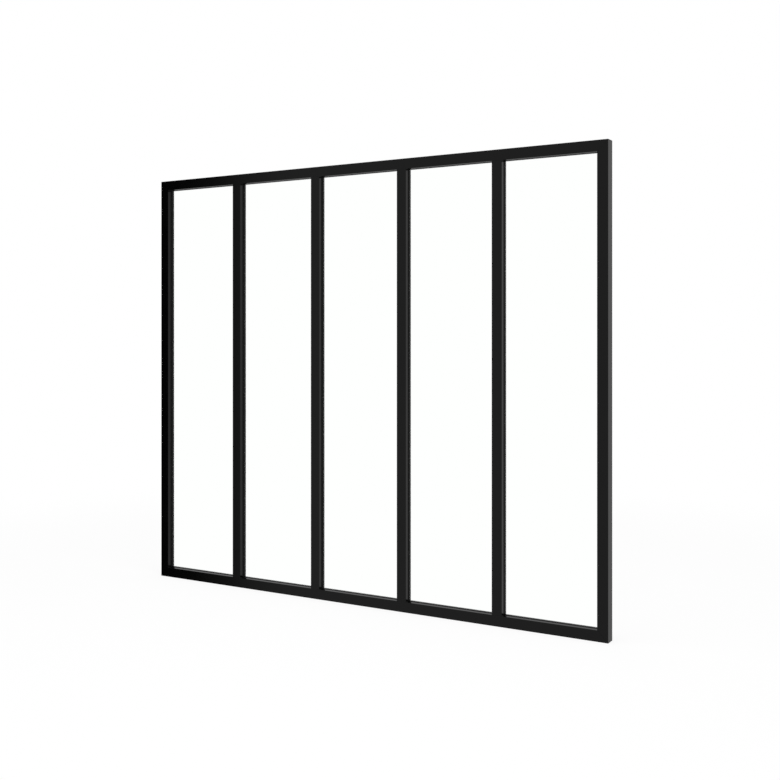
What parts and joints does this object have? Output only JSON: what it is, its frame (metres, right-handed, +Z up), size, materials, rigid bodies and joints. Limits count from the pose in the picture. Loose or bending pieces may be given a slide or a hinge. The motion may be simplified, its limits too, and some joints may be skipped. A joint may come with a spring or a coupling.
{
  "type": "interior glass partition",
  "caption": "Fixed interior glass partition: a slim black metal frame with tall clear panes side by side, parted by mullions, screwed down at sill and head.",
  "frame": {"origin": "middle of the bottom rail's underside, half way between the front and rear faces", "axes": "+X along the partition to the right as seen from the front, +Y from the front to the rear, where the glazing beads are, +Z up"},
  "size_m": [1.53, 0.032, 1.3],
  "materials": {
    "black_powder_coat": "satin",
    "clear_glass": "gloss",
    "black_rubber": "matte",
    "setting_block_plastic": "matte",
    "zinc_steel": "satin"
  },
  "bodies": {
    "root": {"left_jamb": "black_powder_coat", "right_jamb": "black_powder_coat", "top_rail": "black_powder_coat", "bottom_rail": "black_powder_coat", "mullion_1": "black_powder_coat", "mullion_2": "black_powder_coat", "mullion_3": "black_powder_coat", "mullion_4": "black_powder_coat", "top_bead_1": "black_powder_coat", "bottom_bead_1": "black_powder_coat", "left_bead_1": "black_powder_coat", "right_bead_1": "black_powder_coat", "top_bead_2": "black_powder_coat", "bottom_bead_2": "black_powder_coat", "left_bead_2": "black_powder_coat", "right_bead_2": "black_powder_coat", "top_bead_3": "black_powder_coat", "bottom_bead_3": "black_powder_coat", "left_bead_3": "black_powder_coat", "right_bead_3": "black_powder_coat", "top_bead_4": "black_powder_coat", "bottom_bead_4": "black_powder_coat", "left_bead_4": "black_powder_coat", "right_bead_4": "black_powder_coat", "top_bead_5": "black_powder_coat", "bottom_bead_5": "black_powder_coat", "left_bead_5": "black_powder_coat", "right_bead_5": "black_powder_coat", "glass_pane_1": "clear_glass", "glass_pane_2": "clear_glass", "glass_pane_3": "clear_glass", "glass_pane_4": "clear_glass", "glass_pane_5": "clear_glass", "front_gasket_1": "black_rubber", "rear_gasket_1": "black_rubber", "front_gasket_2": "black_rubber", "rear_gasket_2": "black_rubber", "front_gasket_3": "black_rubber", "rear_gasket_3": "black_rubber", "front_gasket_4": "black_rubber", "rear_gasket_4": "black_rubber", "front_gasket_5": "black_rubber", "rear_gasket_5": "black_rubber", "setting_blocks": "setting_block_plastic"}
  },
  "joints": []
}
